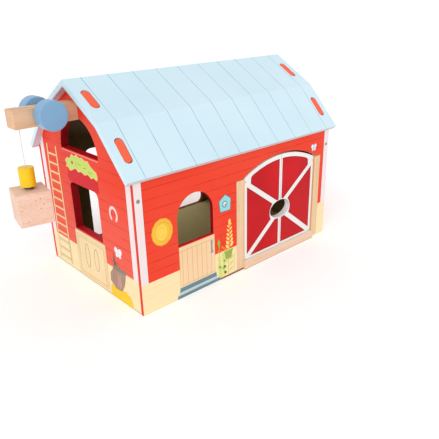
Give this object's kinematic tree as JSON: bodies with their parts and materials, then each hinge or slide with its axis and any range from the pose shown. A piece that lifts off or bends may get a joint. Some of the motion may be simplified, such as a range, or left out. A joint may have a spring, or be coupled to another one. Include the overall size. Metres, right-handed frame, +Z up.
{
  "type": "toy barn with opening doors",
  "caption": "Toy barn with a gambrel roof, double doors that open outward, arched window, loft opening with a string hoist that carries a magnetic crate, and an open back.",
  "frame": {"origin": "centre of the walls' footprint, on the ground", "axes": "+X along the barn away from the hoist, +Y from the door side to the open back, +Z up"},
  "size_m": [0.431, 0.2294, 0.2569],
  "materials": {
    "siding_paint": "satin red printed board",
    "roof_paint": "satin pale blue painted board",
    "door_paint": "satin crimson and white painted board",
    "floor_board": "bare fibreboard",
    "bare_wood": "sanded pale wood",
    "blue_paint": "satin blue painted wood",
    "yellow_paint": "gloss yellow painted wood",
    "steel": "zinc plated",
    "magnet": "dark sintered magnet",
    "string": "thin white twisted string"
  },
  "bodies": {
    "barn": {"floor_panel": "floor_board", "gable_wall_left": "siding_paint", "gable_wall_right": "siding_paint", "front_wall": "siding_paint", "back_wall": "siding_paint", "wall_screws": "steel", "roof_lower_front": "roof_paint", "roof_upper_front": "roof_paint", "roof_lower_back": "roof_paint", "roof_upper_back": "roof_paint", "door_sill": "bare_wood", "hinge_pins": "steel", "crane_beam": "bare_wood", "beam_screws": "steel", "string_run": "string"},
    "left_door": {"door_leaf_left": "door_paint"},
    "right_door": {"door_leaf_right": "door_paint"},
    "winch": {"winch_axle": "bare_wood", "winch_drum_front": "blue_paint", "winch_drum_back": "blue_paint", "string_coil": "string"},
    "weight": {"hoist_weight": "yellow_paint", "weight_magnet": "magnet", "magnet_screw": "steel", "string_drop": "string"},
    "crate_body": {"crate": "bare_wood", "crate_screw": "steel"}
  },
  "joints": [
    {"name": "left_door_hinge", "type": "hinge", "parent": "barn", "child": "left_door", "pos_m": [-0.0032, -0.1063, 0.07], "axis": [0, 0, -1], "range_deg": [0, 95]},
    {"name": "right_door_hinge", "type": "hinge", "parent": "barn", "child": "right_door", "pos_m": [0.1356, -0.1063, 0.07], "axis": [0, 0, 1], "range_deg": [0, 95]},
    {"name": "winch_spin", "type": "hinge", "parent": "barn", "child": "winch", "pos_m": [-0.2034, 0, 0.2244], "axis": [0, 1, 0], "range_deg": [-1070, 405]},
    {"name": "weight_lift", "type": "slide", "parent": "barn", "child": "weight", "axis": [0, 0, 1], "range_m": [-0.105, 0.04], "deforming": ["string_drop"]},
    {"name": "crate_pull", "type": "slide", "parent": "weight", "child": "crate_body", "axis": [-1, 0, 0], "range_m": [0, 0.06]}
  ],
  "couplings": [
    {"joint": "weight_lift", "follows": "winch_spin", "m_per_rad": 0.0056}
  ]
}
